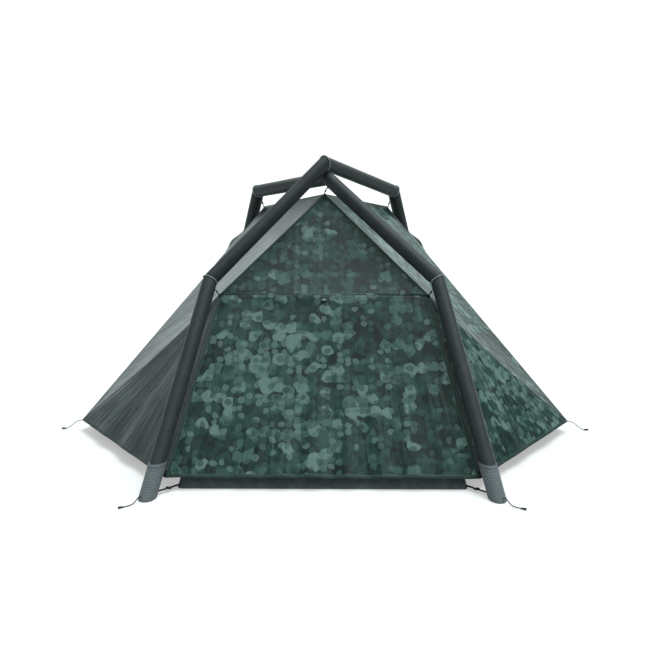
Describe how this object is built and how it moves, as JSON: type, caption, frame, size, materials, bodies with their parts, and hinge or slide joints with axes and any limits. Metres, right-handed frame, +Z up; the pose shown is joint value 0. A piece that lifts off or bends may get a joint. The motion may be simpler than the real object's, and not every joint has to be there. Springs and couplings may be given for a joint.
{
  "type": "inflatable tent",
  "caption": "Small inflatable tent: crossed air beams outside carry a green and grey fly with a front door and side wings, over an inner tent with a tray floor.",
  "frame": {"origin": "on the ground, midway between the two sides, and midway between the front and rear boots' ends", "axes": "+X to the right as seen from the front, +Y from the front door to the rear wall, +Z up"},
  "size_m": [2.5252, 2.3526, 1.2952],
  "materials": {
    "sleeve_cloth": "tight woven charcoal polyester",
    "boot_cloth": "thick coated cloth with fine dots",
    "piping": "folded tape round a cord",
    "air_film": "welded thermoplastic film",
    "printed_cloth": "coated ripstop in tonal greens",
    "plain_cloth": "coated ripstop, plain grey",
    "floor_cloth": "heavy coated cloth",
    "inner_cloth": "light breathable cloth",
    "cord": "black braid and webbing",
    "black_plastic": "moulded, fine grain",
    "zip_plastic": "moulded teeth on woven tape"
  },
  "bodies": {
    "tent": {"front_left_leg_sleeve": "sleeve_cloth", "front_right_leg_sleeve": "sleeve_cloth", "rear_left_leg_sleeve": "sleeve_cloth", "rear_right_leg_sleeve": "sleeve_cloth", "front_left_roof_sleeve": "sleeve_cloth", "front_right_roof_sleeve": "sleeve_cloth", "rear_left_roof_sleeve": "sleeve_cloth", "rear_right_roof_sleeve": "sleeve_cloth", "front_left_boot": "boot_cloth", "front_right_boot": "boot_cloth", "rear_left_boot": "boot_cloth", "rear_right_boot": "boot_cloth", "front_left_elbow_piping": "piping", "front_right_elbow_piping": "piping", "rear_left_elbow_piping": "piping", "rear_right_elbow_piping": "piping", "apex_piping": "piping", "upper_beam_bladder": "air_film", "lower_beam_bladder": "air_film", "crossover_hose": "black_plastic", "valve_body": "black_plastic", "front_gable": "printed_cloth", "left_door_zip": "zip_plastic", "right_door_zip": "zip_plastic", "left_wing_front_panel": "plain_cloth", "right_wing_front_panel": "printed_cloth", "left_side_panel": "plain_cloth", "right_side_panel": "printed_cloth", "left_wing_rear_panel": "plain_cloth", "right_wing_rear_panel": "printed_cloth", "roof_panel": "printed_cloth", "rear_panel": "printed_cloth", "groundsheet_tub": "floor_cloth", "inner_canopy": "inner_cloth", "apex_hanger": "cord", "front_left_shoulder_hanger": "cord", "front_right_shoulder_hanger": "cord", "rear_left_shoulder_hanger": "cord", "rear_right_shoulder_hanger": "cord", "front_left_corner_cord": "cord", "front_right_corner_cord": "cord", "front_left_floor_strap": "cord", "front_right_floor_strap": "cord", "rear_left_floor_strap": "cord", "rear_right_floor_strap": "cord", "front_left_peg_cord": "cord", "front_right_peg_cord": "cord", "left_wing_peg_cord": "cord", "right_wing_peg_cord": "cord"},
    "door": {"front_door": "printed_cloth"},
    "toggle": {"door_toggle": "black_plastic"},
    "left_slider": {"left_zip_slider": "black_plastic"},
    "right_slider": {"right_zip_slider": "black_plastic"},
    "mesh_door": {"inner_door": "inner_cloth"},
    "left_hood": {"left_vent_hood": "plain_cloth"},
    "right_hood": {"right_vent_hood": "printed_cloth"},
    "cap": {"valve_cap": "black_plastic"},
    "pin": {"valve_pin": "zip_plastic"},
    "left_buckle": {"front_left_strap_buckle": "black_plastic"},
    "right_buckle": {"front_right_strap_buckle": "black_plastic"}
  },
  "joints": [
    {"name": "front_door_swing", "type": "hinge", "parent": "tent", "child": "door", "pos_m": [0, -0.44188, 0.693], "axis": [-1, 0, 0], "range_deg": [0, 100]},
    {"name": "toggle_swing", "type": "hinge", "parent": "door", "child": "toggle", "pos_m": [0, -0.44433, 0.69247], "axis": [-1, 0, 0], "range_deg": [0, 70]},
    {"name": "left_slider_travel", "type": "slide", "parent": "tent", "child": "left_slider", "axis": [0.189, 0.6443, 0.7411], "range_m": [0, 0.78]},
    {"name": "right_slider_travel", "type": "slide", "parent": "tent", "child": "right_slider", "axis": [-0.189, 0.6443, 0.7411], "range_m": [0, 0.78]},
    {"name": "inner_door_swing", "type": "hinge", "parent": "tent", "child": "mesh_door", "pos_m": [0, -0.8938, 0.1129], "axis": [-1, 0, 0], "range_deg": [0, 45]},
    {"name": "left_hood_swing", "type": "hinge", "parent": "tent", "child": "left_hood", "pos_m": [-0.47744, 0.44364, 0.84425], "axis": [-0.5516, -0.533, -0.6416], "range_deg": [0, 30]},
    {"name": "right_hood_swing", "type": "hinge", "parent": "tent", "child": "right_hood", "pos_m": [0.47744, 0.44364, 0.84425], "axis": [-0.5516, 0.533, 0.6416], "range_deg": [0, 30]},
    {"name": "valve_cap_swing", "type": "hinge", "parent": "tent", "child": "cap", "pos_m": [0.58325, 1.01577, 0.29105], "axis": [-0.9653, 0, -0.2612], "range_deg": [0, 120]},
    {"name": "valve_pin_press", "type": "slide", "parent": "tent", "child": "pin", "axis": [0.1052, -0.9152, -0.389], "range_m": [0, 0.004], "stiffness_N_per_m": 400, "springref_m": -0.002},
    {"name": "left_buckle_travel", "type": "slide", "parent": "tent", "child": "left_buckle", "axis": [-0.6894, -0.7244, 0], "range_m": [-0.03, 0.03]},
    {"name": "right_buckle_travel", "type": "slide", "parent": "tent", "child": "right_buckle", "axis": [0.6894, -0.7244, 0], "range_m": [-0.03, 0.03]}
  ]
}
